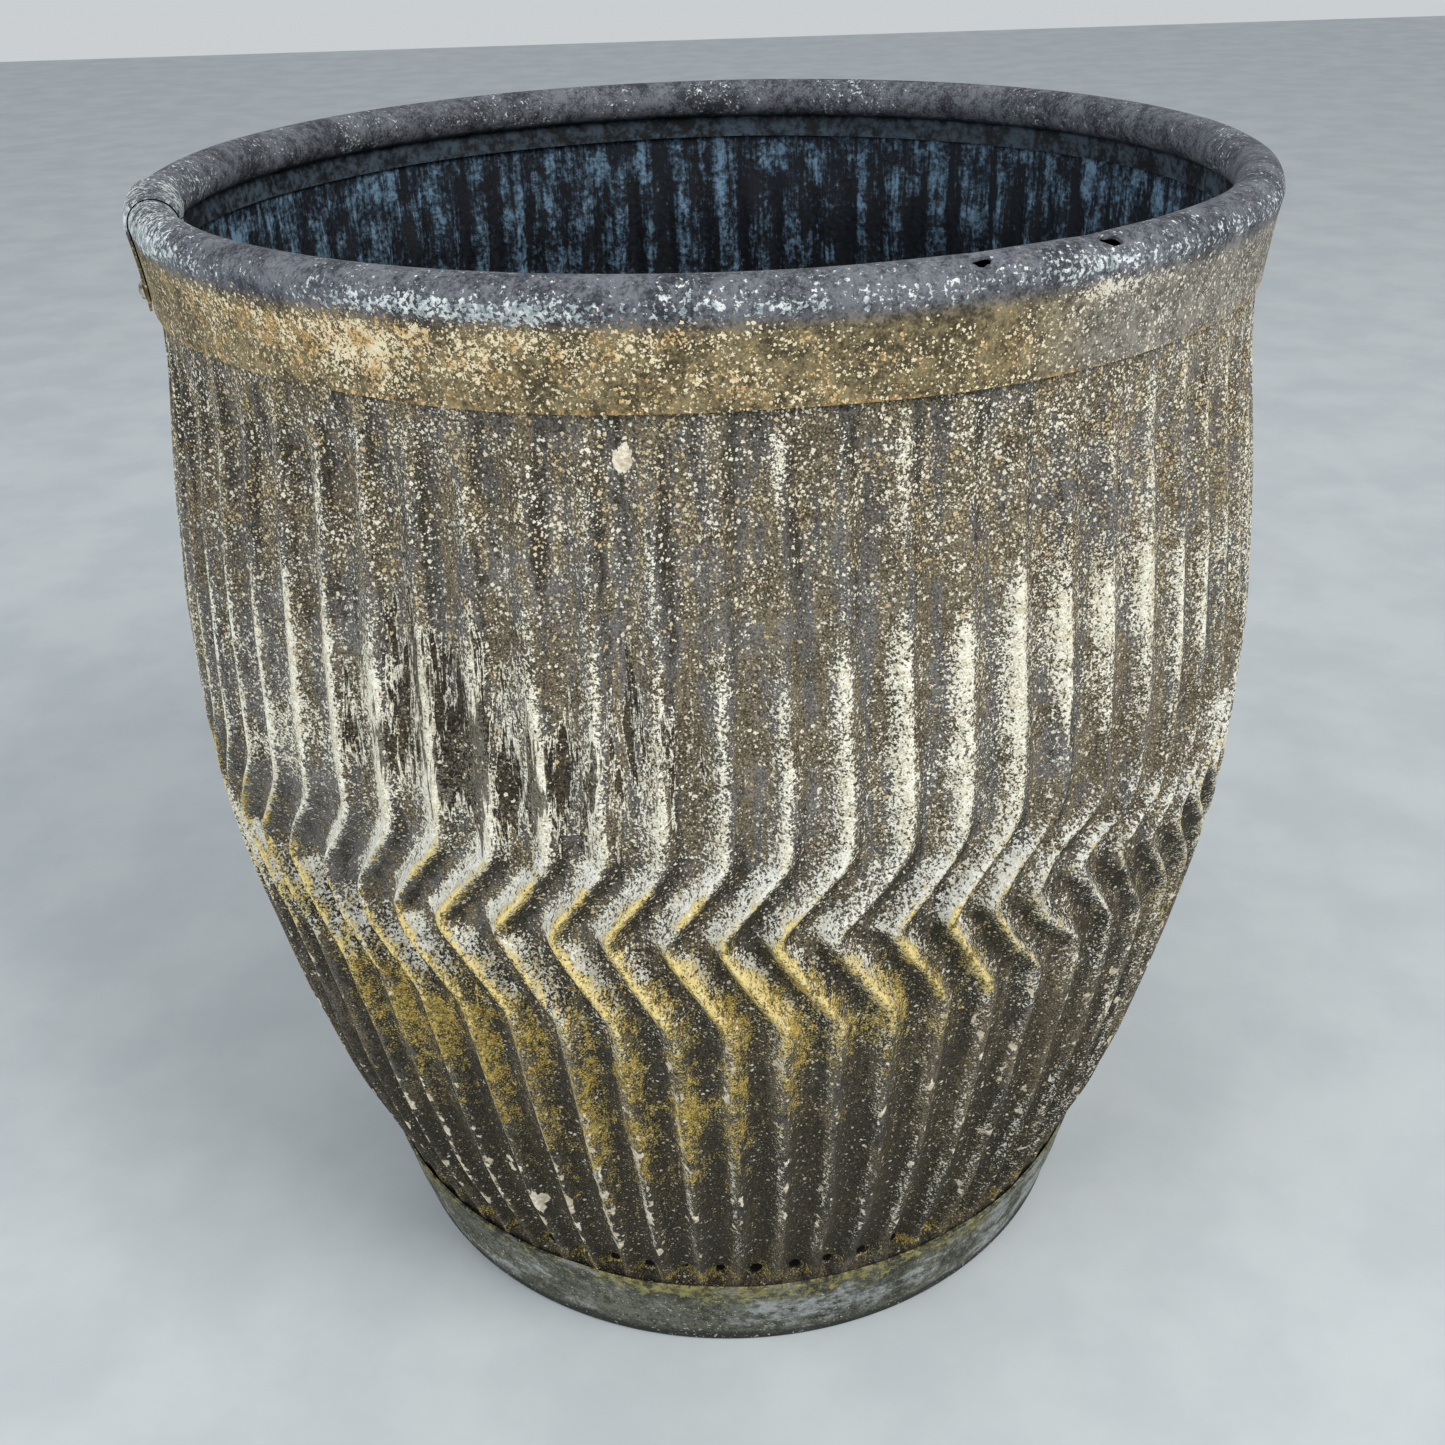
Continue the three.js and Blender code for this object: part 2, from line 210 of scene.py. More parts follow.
def skin(name, outer, inner, fields, materials, wraps=False, kept=None):
    """A closed sheet between two grids of points, rows by columns, whose columns run anticlockwise and
    whose rows run so that outer faces out. fields holds values for each grid point, for the materials.
    The inner side takes the last material. wraps joins the last column to the first, and kept says
    which of the grid's quads are there."""
    rows, columns = outer.shape[:2]
    count = rows * columns
    index = np.arange(count).reshape(rows, columns)
    across = np.roll(index, -1, 1) if wraps else index[:, 1:]
    here = index if wraps else index[:, :-1]
    quads = np.stack([here[:-1], across[:-1], across[1:], here[1:]], -1)
    quads = quads.reshape(-1, 4) if kept is None else quads[kept]
    edges = np.concatenate([quads[:, [k, (k + 1) % 4]] for k in range(4)])
    key, reverse = edges[:, 0] * count + edges[:, 1], edges[:, 1] * count + edges[:, 0]
    open_edges = edges[~np.isin(reverse, key)]
    a, b = open_edges.T
    sides = np.stack([b, a, a + count, b + count], -1)
    faces = np.concatenate([quads, quads[:, ::-1] + count, sides])
    used, faces = np.unique(faces, return_inverse=True)
    faces = faces.reshape(-1, 4)
    points = np.concatenate([outer.reshape(-1, 3), inner.reshape(-1, 3)])[used]

    mesh = bpy.data.meshes.new(name)
    mesh.vertices.add(len(points))
    mesh.vertices.foreach_set("co", points.astype(np.float32).ravel())
    mesh.loops.add(faces.size)
    mesh.loops.foreach_set("vertex_index", faces.astype(np.int32).ravel())
    mesh.polygons.add(len(faces))
    mesh.polygons.foreach_set("loop_start", np.arange(0, faces.size, 4, dtype=np.int32))
    for material in materials:
        mesh.materials.append(material)
    slots = np.zeros(len(faces), np.int32)
    slots[len(quads) : 2 * len(quads)] = len(materials) - 1
    mesh.polygons.foreach_set("material_index", slots)
    mesh.update(calc_edges=True)
    mesh.validate()
    mesh.polygons.foreach_set("use_smooth", np.ones(len(faces), bool))
    mesh.set_sharp_from_angle(angle=SHARP_ANGLE)
    for field, values in fields.items():
        size = values.shape[-1] if values.ndim == 3 else 1
        values = np.concatenate([values.reshape(count, size)] * 2)[used].astype(np.float32)
        kind, part = ATTRIBUTE_KINDS[size]
        mesh.attributes.new(field, kind, "POINT").data.foreach_set(part, values.ravel())
    piece = bpy.data.objects.new(name, mesh)
    bpy.context.scene.collection.objects.link(piece)
    return piece


def on_tub(radius, azimuth, z):
    """Points, from cylindrical coordinates."""
    return np.stack([radius * np.cos(azimuth), radius * np.sin(azimuth), z + 0 * radius], -1)


def turned(shape, azimuth):
    """Points, from (radius, z) ones and their azimuths."""
    return on_tub(shape[..., 0], azimuth, shape[..., 1])


def finish_piece(piece, slot, *nodes):
    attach(piece, "root")
    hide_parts(*nodes)


# ---- material building -----------------------------------------------------------------------


def tone(*rgb):
    """An sRGB colour, 0 to 255, as a linear one with alpha."""
    return (*[((c / 255 + 0.055) / 1.055) ** 2.4 if c > 10 else c / 255 / 12.92 for c in rgb], 1)


class Paint:
    """One material's node tree, with short ways to add its nodes."""

    def __init__(self, name, specular=0.3, metallic=0.0):
        self.material = bpy.data.materials.new(name)
        self.material.use_nodes = True
        self.tree = self.material.node_tree
        self.shader = self.tree.nodes["Principled BSDF"]
        self.shader.inputs["Specular IOR Level"].default_value = specular
        self.shader.inputs["Metallic"].default_value = metallic
        self.place = self.tree.nodes.new("ShaderNodeTexCoord").outputs["Object"]

    def set(self, socket, value):
        if isinstance(value, bpy.types.NodeSocket):
            self.tree.links.new(value, socket)
        else:
            socket.default_value = value

    def attribute(self, name, output="Fac"):
        node = self.tree.nodes.new("ShaderNodeAttribute")
        node.attribute_name = name
        return node.outputs[output]

    def channels(self, name):
        """The attribute's red, green, blue and alpha."""
        split = self.tree.nodes.new("ShaderNodeSeparateColor")
        self.set(split.inputs[0], self.attribute(name, "Color"))
        return [*split.outputs, self.attribute(name, "Alpha")]

    def math(self, operation, a, b=0.0, c=0.0):
        node = self.tree.nodes.new("ShaderNodeMath")
        node.operation = operation
        for socket, value in zip(node.inputs, (a, b, c)):
            self.set(socket, value)
        return node.outputs[0]

    def add(self, *values):
        total = values[0]
        for value in values[1:]:
            total = self.math("ADD", total, value)
        return total

    def times(self, a, b):
        return self.math("MULTIPLY", a, b)

    def stretched(self, where, scale, shift=(0, 0, 0)):
        """where times scale plus shift."""
        node = self.tree.nodes.new("ShaderNodeVectorMath")
        node.operation = "MULTIPLY_ADD"
        for socket, value in zip(node.inputs, (where, scale, shift)):
            self.set(socket, value)
        return node.outputs[0]

    def noise(self, scale, detail=4.0, roughness=0.55, distortion=0.0, where=None):
        node = self.tree.nodes.new("ShaderNodeTexNoise")
        self.set(node.inputs["Vector"], self.place if where is None else where)
        node.inputs["Scale"].default_value = scale
        node.inputs["Detail"].default_value = detail
        node.inputs["Roughness"].default_value = roughness
        node.inputs["Distortion"].default_value = distortion
        return node.outputs["Fac"]

    def dots(self, scale, share, ragged=0.0015):
        """A mask of separate ragged dots, in about `share` of the cells of a mesh with `scale` of them to a
        metre. The dots' edges wander by about `ragged` metres."""
        wander = self.tree.nodes.new("ShaderNodeTexNoise")
        self.set(wander.inputs["Vector"], self.place)
        wander.inputs["Scale"].default_value = scale * 2.4
        wander.inputs["Detail"].default_value = 1.0
        cells = self.tree.nodes.new("ShaderNodeTexVoronoi")
        self.set(cells.inputs["Vector"], self.stretched(wander.outputs["Color"], (ragged,) * 3, self.place))
        cells.inputs["Scale"].default_value = scale
        chance = self.tree.nodes.new("ShaderNodeSeparateColor")
        self.set(chance.inputs[0], cells.outputs["Color"])
        chosen = self.step(self.math("SUBTRACT", share, chance.outputs[0]), -0.02, 0.02)
        size = self.math("MULTIPLY_ADD", chance.outputs[1], 0.24, 0.18)
        inside = self.step(self.math("SUBTRACT", size, cells.outputs["Distance"]), -0.04, 0.04)
        return self.times(chosen, inside)

    def step(self, value, low, high, to_low=0.0, to_high=1.0):
        """Smooth step from to_low to to_high while value goes from low to high."""
        node = self.tree.nodes.new("ShaderNodeMapRange")
        node.interpolation_type = "SMOOTHSTEP"
        names = ("Value", "From Min", "From Max", "To Min", "To Max")
        for name, part in zip(names, (value, low, high, to_low, to_high)):
            self.set(node.inputs[name], part)
        return node.outputs["Result"]

    def cover(self, noise, amount, soft=0.05):
        """A mask from a noise around 0.5 that covers about `amount` of the surface, none at 0 and all of it
        at 1. soft is how wide its edges are."""
        middle = 0.71
        raised = self.math("MULTIPLY_ADD", amount, 2 * (middle - 0.5), noise)
        return self.step(raised, middle - soft / 2, middle + soft / 2)

    def mingle(self, *weighted):
        """A weighted mix of (weight, noise) pairs, spread about 0.5 as widely as each noise is."""
        scale = 1 / math.sqrt(sum(weight**2 for weight, _ in weighted))
        shift = 0.5 * (1 - scale * sum(weight for weight, _ in weighted))
        return self.add(*[self.times(noise, weight * scale) for weight, noise in weighted], shift)

    def blend(self, *weighted):
        """A weighted sum of (weight, value) pairs."""
        return self.add(*[self.times(value, weight) for weight, value in weighted])

    def mix(self, share, a, b):
        """Colour a at share 0, and b at share 1."""
        node = self.tree.nodes.new("ShaderNodeMix")
        node.data_type = "RGBA"
        self.set(node.inputs["Factor"], share)
        self.set([s for s in node.inputs if s.name == "A" and s.type == "RGBA"][0], a)
        self.set([s for s in node.inputs if s.name == "B" and s.type == "RGBA"][0], b)
        return [s for s in node.outputs if s.type == "RGBA"][0]

    def finish(self, colour, roughness, height, strength=0.8):
        """The material, with bump from height, in metres."""
        self.set(self.shader.inputs["Base Color"], colour)
        self.set(self.shader.inputs["Roughness"], roughness)
        bump = self.tree.nodes.new("ShaderNodeBump")
        bump.inputs["Strength"].default_value = strength
        bump.inputs["Distance"].default_value = 1.0
        self.set(bump.inputs["Height"], height)
        self.set(self.shader.inputs["Normal"], bump.outputs["Normal"])
        return self.material


def outside_patina_and_light():
    """Grey-brown dirt in soft vertical bands, under granular zinc salts, golden lichen and cream flecks,
    with painted light and shade. patina holds how much chalk, lichen, grime and flecks there is: the chalk
    also carries painted highlights and painted light, and the grime carries painted shade and shadow. The
    peeling value is above 1 in the weep pits, where it paints them near-black as their shade."""
    p = Paint("wall_patina_and_light", specular=0.22)
    chalk_and_highlight, lichen, grime_and_shade, flecks = p.channels("patina")
    peel_and_pit_shade, sunny, chips = [p.attribute(name) for name in ("peel_and_pit_shade", "sunny", "chips")]
    sheet = p.attribute("sheet", "Vector")
    streaks = p.noise(1.0, 5, 0.6, where=p.stretched(sheet, (150, 15, 1)))
    drips = p.noise(1.0, 6, 0.68, where=p.stretched(sheet, (520, 90, 1)))
    blotch = p.noise(42, 6, 0.62)
    mottle = p.noise(300, 6, 0.72)
    grain = p.noise(1300, 3, 0.66)
    crumbs = p.noise(840, 2, 0.6, 0.4)

    light = p.step(p.mingle((0.35, mottle), (0.9, grain), (0.35, blotch)), 0.34, 0.68)
    warm = p.mix(light, tone(54, 48, 38), tone(148, 136, 112))
    cool = p.mix(light, tone(61, 58, 55), tone(134, 131, 127))
    banding = p.add(p.mingle((0.7, streaks), (0.5, blotch)), p.times(sunny, -0.08))
    band = p.step(banding, 0.46, 0.56)
    colour = p.mix(band, warm, cool)
    # Grime and painted shade darken the colour here together, in one mask
    dark = p.cover(p.mingle((0.5, streaks), (0.4, blotch), (0.6, mottle)), grime_and_shade, 0.20)
    dark_tone = p.mix(p.step(grain, 0.36, 0.66), tone(24, 21, 15), tone(72, 65, 48))
    colour = p.mix(p.times(dark, 0.90), colour, dark_tone)

    pit_low, pit_high = 0.756, 0.776
    pit = p.add(p.noise(1.0, 6, 0.66, 0.4, where=p.stretched(sheet, (190, 24, 1))), p.times(peel_and_pit_shade, 0.29))
    peeled_and_pits = p.step(pit, pit_low, pit_high)
    lip = p.times(p.step(pit, 0.715, 0.750), p.step(pit, pit_high, pit_low))
    peeled_light = p.step(p.mingle((0.7, grain), (0.6, mottle)), 0.38, 0.64)
    # Peeled crust is dark brown; in the weep pits the same darkening is painted shade
    colour = p.mix(p.times(peeled_and_pits, 0.86), colour, p.mix(peeled_light, tone(14, 12, 9), tone(80, 69, 50)))

    chalk_noise = p.mingle((0.9, crumbs), (0.55, grain), (0.45, drips), (0.30, mottle))
    chalk_and_highlight_mask = p.cover(chalk_noise, p.add(chalk_and_highlight, p.times(lip, 0.5)), 0.05)
    chalk_and_highlight_mask = p.times(chalk_and_highlight_mask, p.step(peeled_and_pits, 1.0, 0.0, 0.15, 1.0))
    chalk_light = p.step(p.mingle((0.6, mottle), (0.6, grain)), 0.38, 0.60)
    chalk_and_highlight_tone = p.mix(chalk_light, tone(204, 194, 164), tone(253, 251, 236))
    # Painted skylight: the chalk turns a cool grey-white on faces turned up and to the left
    chalk_and_highlight_tone = p.mix(p.times(p.step(sunny, 0.15, 0.6), 0.40), chalk_and_highlight_tone, tone(232, 236, 238))
    colour = p.mix(p.times(chalk_and_highlight_mask, 0.92), colour, chalk_and_highlight_tone)

    lichen_noise = p.mingle((0.8, p.noise(100, 6, 0.68, 0.5)), (0.5, drips), (0.6, grain))
    lichen_mask = p.cover(lichen_noise, lichen, 0.12)
    lichen_tone = p.mix(p.step(mottle, 0.38, 0.62), tone(84, 70, 28), tone(200, 166, 68))
    lichen_tone = p.mix(p.times(p.step(grain, 0.50, 0.64), 0.85), lichen_tone, tone(248, 230, 150))
    lichen_tone = p.mix(p.times(chalk_and_highlight_mask, 0.6), lichen_tone, tone(252, 226, 136))
    colour = p.mix(p.times(lichen_mask, 0.82), colour, lichen_tone)

    clumps = p.step(p.noise(60, 4, 0.6), 0.30, 0.66, 0.35, 1.75)
    clumped = p.times(p.times(flecks, p.step(band, 0, 1, 1.2, 0.7)), clumps)
    fleck_mask = p.math("MAXIMUM", p.dots(500, clumped), p.dots(900, p.times(clumped, 1.2), 0.0009))
    fleck_tone = p.mix(p.step(p.noise(130, 2), 0.46, 0.62), tone(246, 240, 220), tone(218, 196, 152))
    colour = p.mix(p.times(fleck_mask, 0.88), colour, fleck_tone)
    chip_shapes = p.noise(1.0, 4, 0.6, 0.3, where=p.stretched(sheet, (180, 105, 1)))
    chip_mask = p.step(p.blend((0.8, chips), (1.6, chip_shapes)), 1.42, 1.47)
    # Painted shade: the weep pits go near-black
    colour = p.mix(p.step(peel_and_pit_shade, 0.95, 1.20), colour, tone(13, 13, 15))
    chip_tone = p.mix(p.step(mottle, 0.42, 0.60), tone(206, 188, 158), tone(248, 242, 224))
    colour = p.mix(chip_mask, colour, chip_tone)

    relief = p.blend(
        (0.00050, chalk_and_highlight_mask), (0.00035, fleck_mask), (0.0003, lichen_mask), (-0.0006, peeled_and_pits),
        (0.0006, chip_mask), (0.0011, mottle), (0.0006, grain),
    )
    rough = p.step(mottle, 0.3, 0.7, 0.72, 0.95)
    return p.finish(colour, rough, relief)


def inside_patina_and_shade():
    """Near-black sheet with slate-blue streaks down the flutes; the near-black is partly painted shade of the
    tub's inside.
    """
    p = Paint("inside_patina_and_shade", specular=0.35)
    rib = p.attribute("rib")
    sheet = p.attribute("sheet", "Vector")
    streaks = p.noise(1.0, 4, 0.6, where=p.stretched(sheet, (110, 6, 1)))
    drips = p.noise(1.0, 5, 0.66, where=p.stretched(sheet, (420, 50, 1)))
    blotch = p.noise(60, 6, 0.66, 0.2)
    mottle = p.noise(380, 5, 0.66)
    # Partly painted shade: the sheet between the streaks is near-black
    base = p.mix(p.step(mottle, 0.36, 0.68), tone(2, 4, 8), tone(18, 26, 38))
    field = p.mingle((0.7, streaks), (0.6, drips), (0.4, blotch), (0.35, mottle))
    mask = p.step(p.add(field, p.times(rib, -0.09)), 0.42, 0.64)
    light = p.step(p.mingle((0.5, mottle), (0.6, blotch)), 0.38, 0.66)
    pale = p.mix(light, tone(30, 48, 66), tone(118, 152, 178))
    colour = p.mix(p.times(mask, 0.80), base, pale)
    salt = p.step(p.mingle((0.8, drips), (0.6, mottle)), 0.66, 0.72)
    colour = p.mix(p.times(salt, 0.5), colour, tone(146, 150, 142))
    relief = p.add(p.times(mask, 0.0004), p.times(mottle, 0.0006))
    return p.finish(colour, p.step(mottle, 0.3, 0.7, 0.60, 0.88), relief)


def rim_patina_and_shade():
    """Olive-brown skirt crowded with cream and gold flecks, under a dark purple-grey bead with pale crust.
    patina holds how much crust, gold, bare metal and flecks there is. bead is 1 on the roll, and hem on
    the leg inside the wall. grey is 1 where the olive has worn off."""
    p = Paint("rim_patina_and_shade", specular=0.35)
    crust, gold, bare, flecks = p.channels("patina")
    bead, hem, grey = p.attribute("bead"), p.attribute("hem"), p.attribute("grey")
    blotch = p.noise(55, 5, 0.6)
    mottle = p.noise(260, 5, 0.68)
    grain = p.noise(900, 3, 0.64)
    light = p.step(p.mingle((0.5, blotch), (0.6, mottle), (0.5, grain)), 0.34, 0.66)
    olive = p.mix(light, tone(60, 51, 30), tone(140, 126, 92))
    olive = p.mix(p.times(grey, 0.8), olive, p.mix(light, tone(70, 67, 62), tone(138, 135, 130)))
    purple = p.mix(light, tone(38, 40, 48), tone(106, 109, 117))
    colour = p.mix(bead, olive, purple)

    gold_mask = p.cover(p.mingle((0.7, p.noise(90, 5, 0.6)), (0.5, mottle), (0.7, grain)), gold, 0.08)
    gold_tone = p.mix(p.step(mottle, 0.4, 0.6), tone(128, 92, 40), tone(192, 152, 86))
    colour = p.mix(p.times(gold_mask, 0.55), colour, gold_tone)

    clumps = p.noise(60, 5, 0.6)
    clumped = p.times(flecks, p.step(clumps, 0.30, 0.66, 0.65, 1.9))
    scab_noise = p.mingle((0.8, p.noise(620, 3, 0.6, 0.8)), (0.30, clumps))
    scabs = p.cover(scab_noise, p.math("MULTIPLY_ADD", flecks, 0.95, -0.24), 0.03)
    fleck_mask = p.math("MAXIMUM", p.dots(500, clumped), p.dots(900, clumped, 0.0009))
    fleck_mask = p.math("MAXIMUM", fleck_mask, scabs)
    fleck_tone = p.mix(p.step(p.noise(110, 3), 0.46, 0.62), tone(238, 222, 182), tone(210, 172, 110))
    fleck_tone = p.mix(p.times(p.step(grain, 0.52, 0.64), 0.7), fleck_tone, tone(246, 240, 222))
    fleck_tone = p.mix(p.times(grey, 0.75), fleck_tone, tone(214, 212, 202))
    colour = p.mix(p.times(fleck_mask, 0.88), colour, fleck_tone)

    crust_noise = p.mingle((0.5, p.noise(150, 6, 0.70, 0.5)), (0.9, p.noise(640, 3, 0.6)))
    crust_mask = p.cover(crust_noise, crust, 0.05)
    crust_tone = p.mix(p.step(mottle, 0.38, 0.62), tone(136, 150, 154), tone(226, 232, 230))
    colour = p.mix(p.times(crust_mask, 0.85), colour, crust_tone)
    # Partly painted shade: the leg inside the wall and the inner side of the roll go dark blue-grey,
    # near-black
    hem_light = p.step(p.mingle((0.5, blotch), (0.6, mottle)), 0.40, 0.64)
    colour = p.mix(hem, colour, p.mix(hem_light, tone(10, 12, 17), tone(62, 76, 88)))

    relief = p.blend((0.00035, fleck_mask), (0.0004, crust_mask), (0.00055, mottle), (0.0002, grain))
    rough = p.step(p.add(p.times(bare, -0.35), mottle), 0.2, 0.7, 0.50, 0.90)
    return p.finish(colour, rough, relief)


def foot_patina():
    """Grey-olive band with pale grey smears, darker towards its bottom edge. patina holds how much smears,
    lichen, darkening at the bottom and flecks there is."""
    p = Paint("foot_patina", specular=0.3)
    smears, lichen, bottom_dark, flecks = p.channels("patina")
    sheet = p.attribute("sheet", "Vector")
    blotch = p.noise(48, 5, 0.62)
    mottle = p.noise(240, 6, 0.70)
    grain = p.noise(900, 3, 0.64)
    brushed = p.noise(1.0, 5, 0.6, where=p.stretched(sheet, (60, 200, 1)))
    light = p.step(p.mingle((0.6, mottle), (0.5, grain), (0.5, blotch)), 0.34, 0.66)
    colour = p.mix(light, tone(42, 43, 36), tone(116, 117, 102))
    smear_mask = p.cover(p.mingle((0.7, brushed), (0.6, blotch), (0.3, mottle)), smears, 0.16)
    colour = p.mix(p.times(smear_mask, 0.75), colour, p.mix(light, tone(104, 106, 106), tone(172, 176, 178)))
    lichen_mask = p.cover(p.mingle((0.7, p.noise(120, 6, 0.66)), (0.5, grain)), lichen, 0.12)
    lichen_tone = p.mix(p.step(mottle, 0.4, 0.62), tone(88, 82, 44), tone(160, 152, 92))
    colour = p.mix(p.times(lichen_mask, 0.75), colour, lichen_tone)
    # Darker towards the bottom edge
    bottom_dark_mask = p.cover(p.mingle((0.6, mottle), (0.5, blotch)), bottom_dark, 0.20)
    colour = p.mix(p.times(bottom_dark_mask, 0.88), colour, tone(30, 31, 31))
    fleck_mask = p.cover(p.noise(560, 2, 0.5), flecks, 0.03)
    colour = p.mix(p.times(fleck_mask, 0.7), colour, tone(200, 196, 178))
    relief = p.blend((0.0003, lichen_mask), (0.0009, mottle), (0.0002, fleck_mask), (0.0002, smear_mask))
    return p.finish(colour, p.step(mottle, 0.3, 0.7, 0.68, 0.94), relief)


def base_patina():
    """Dark, dirty plate at the bottom, with rusty patches."""
    p = Paint("base_patina", specular=0.3)
    blotch, mottle = p.noise(30, 6, 0.6), p.noise(220, 6, 0.66)
    colour = p.mix(p.step(mottle, 0.35, 0.68), tone(24, 27, 33), tone(72, 74, 74))
    colour = p.mix(p.times(p.step(blotch, 0.50, 0.66), 0.7), colour, tone(96, 104, 108))
    colour = p.mix(p.times(p.step(p.noise(14, 5), 0.52, 0.64), 0.5), colour, tone(84, 62, 40))
    return p.finish(colour, p.step(mottle, 0.3, 0.7, 0.65, 0.92), p.times(mottle, 0.0010))


def rivet_patina():
    """Brown-grey rivet heads under pale salts."""
    p = Paint("rivet_patina", specular=0.3)
    blotch, mottle = p.noise(160, 5, 0.6), p.noise(700, 5, 0.66)
    colour = p.mix(p.step(mottle, 0.35, 0.66), tone(74, 68, 54), tone(140, 132, 112))
    colour = p.mix(p.times(p.step(blotch, 0.48, 0.64), 0.7), colour, tone(196, 190, 170))
    return p.finish(colour, p.step(mottle, 0.3, 0.7, 0.62, 0.90), p.times(mottle, 0.0005))


# ---- pieces ----------------------------------------------------------------------------------

WALL_OUT, WALL_IN = outside_patina_and_light(), inside_patina_and_shade()
RIM, FOOT, BASE, RIVET = rim_patina_and_shade(), foot_patina(), base_patina(), rivet_patina()


# Where there is more or less of each, as blots
CHALKY = [
    (287, 0.362, 11, 0.036, 0.62), (304, 0.404, 12, 0.036, 0.60), (226, 0.335, 13, 0.060, 1.20),
    (247, 0.345, 12, 0.060, 0.80), (262, 0.310, 12, 0.030, 0.30), (288, 0.412, 11, 0.030, 0.42),
    (310, 0.330, 10, 0.022, -0.22), (60, 0.36, 30, 0.06, 0.3), (140, 0.37, 25, 0.06, 0.3),
]
LESS_CHALKY = [(310, 0.290, 13, 0.050, 1.0)]
MOSSY = [
    (245, 0.225, 15, 0.045, 0.56), (268, 0.200, 12, 0.040, 0.42), (287, 0.245, 14, 0.028, 0.50),
    (222, 0.262, 12, 0.035, 0.26), (268, 0.264, 11, 0.020, 0.44), (232, 0.205, 9, 0.040, 0.28),
    (225, 0.474, 14, 0.020, 0.16), (246, 0.478, 16, 0.014, 0.12), (255, 0.150, 16, 0.045, 0.26),
    (60, 0.230, 40, 0.05, 0.5), (150, 0.210, 30, 0.05, 0.5), (330, 0.230, 14, 0.04, 0.25),
]
# Grime and painted shade; the negative blot lightens the painted shade on the zigzag's turned-down faces
GRIMY_AND_SHADED = [
    (250, 0.350, 12, 0.035, 0.16), (276, 0.490, 14, 0.02, 0.12), (246, 0.300, 14, 0.022, -0.26),
    (226, 0.252, 12, 0.014, 0.30),
]
FLECKED = [(308, 0.455, 12, 0.040, 0.36), (246, 0.474, 12, 0.014, 0.20)]
PEELING = [
    (243, 0.385, 7, 0.05, 0.9), (252, 0.355, 9, 0.045, 0.9), (264, 0.375, 6, 0.040, 0.7),
    (234, 0.360, 5, 0.03, 0.4), (80, 0.36, 12, 0.05, 0.8),
]
SCABBED = [
    (262.6, 0.473, 1.5, 0.0075, 1.3), (241.5, 0.126, 1.2, 0.012, 1.0), (245.5, 0.106, 1.0, 0.009, 0.9),
]


